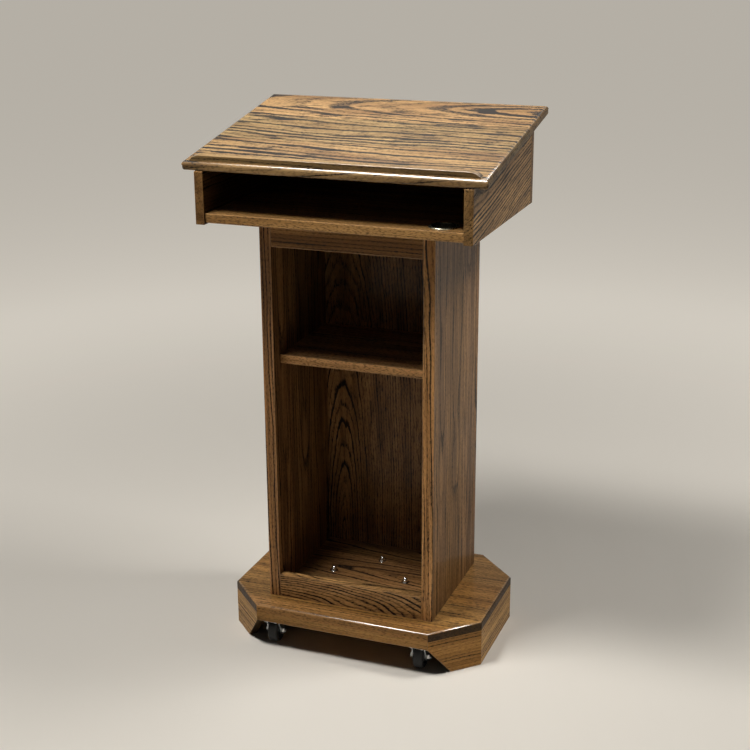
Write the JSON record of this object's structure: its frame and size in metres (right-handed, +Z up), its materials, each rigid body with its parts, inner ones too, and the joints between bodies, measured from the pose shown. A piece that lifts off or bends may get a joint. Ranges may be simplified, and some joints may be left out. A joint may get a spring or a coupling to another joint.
{
  "type": "lectern",
  "caption": "Stained oak lectern: sloped desk over an open cubby, open-front column with a shelf, and a clipped-corner base that tips onto casters to roll.",
  "frame": {"origin": "centre of the lectern's bounding box, on the floor", "axes": "+Z up, -Y towards the reader who stands behind it, +X to the reader's right"},
  "size_m": [0.628, 0.4422, 1.1423],
  "materials": {
    "desk_oak": "dark-stained red oak under satin lacquer",
    "body_oak": "dark-stained red oak under satin lacquer",
    "base_oak": "dark-stained red oak under satin lacquer",
    "chrome": "bright plated",
    "zinc": "bright zinc plated pressed steel",
    "nylon": "moulded black nylon",
    "rubber": "moulded black rubber"
  },
  "bodies": {
    "lectern": {"desk_top": "desk_oak", "book_stop": "desk_oak", "desk_cleat_left": "body_oak", "desk_cleat_right": "body_oak", "head_side_left": "body_oak", "head_side_right": "body_oak", "head_rear_panel": "body_oak", "head_shelf": "body_oak", "cable_grommet": "chrome", "column_side_left": "body_oak", "column_side_right": "body_oak", "column_rear_panel": "body_oak", "column_top_rail": "body_oak", "column_apron": "body_oak", "column_shelf": "body_oak", "column_bottom": "body_oak", "column_cap": "body_oak", "cap_screw_1": "zinc", "cap_screw_2": "zinc", "cap_screw_3": "zinc", "cap_screw_4": "zinc", "column_bolt_1": "zinc", "column_bolt_2": "zinc", "column_bolt_3": "zinc", "bolt_washer_1": "chrome", "bolt_washer_2": "chrome", "bolt_washer_3": "chrome", "cap_nut_1": "chrome", "cap_nut_2": "chrome", "cap_nut_3": "chrome", "base_deck": "base_oak", "caster_board": "base_oak", "skirt_left": "base_oak", "skirt_right": "base_oak", "skirt_rear": "base_oak", "corner_front_left": "base_oak", "corner_front_right": "base_oak", "corner_rear_left": "base_oak", "corner_rear_right": "base_oak", "caster_fork_left": "zinc", "caster_fork_right": "zinc", "caster_axle_left": "zinc", "caster_axle_right": "zinc", "caster_nut_left": "chrome", "caster_nut_right": "chrome", "caster_bush_left": "zinc", "caster_bush_right": "zinc", "plate_screw_left_1": "zinc", "plate_screw_left_2": "zinc", "plate_screw_left_3": "zinc", "plate_screw_left_4": "zinc", "plate_screw_right_1": "zinc", "plate_screw_right_2": "zinc", "plate_screw_right_3": "zinc", "plate_screw_right_4": "zinc"},
    "wheel_left": {"wheel_hub_left": "nylon", "wheel_tyre_left": "rubber"},
    "wheel_right": {"wheel_hub_right": "nylon", "wheel_tyre_right": "rubber"}
  },
  "joints": [
    {"name": "wheel_left_spin", "type": "hinge", "parent": "lectern", "child": "wheel_left", "pos_m": [-0.16793, -0.15614, 0.0265], "axis": [1, 0, 0], "continuous": true},
    {"name": "wheel_right_spin", "type": "hinge", "parent": "lectern", "child": "wheel_right", "pos_m": [0.16793, -0.15614, 0.0265], "axis": [1, 0, 0], "continuous": true}
  ]
}
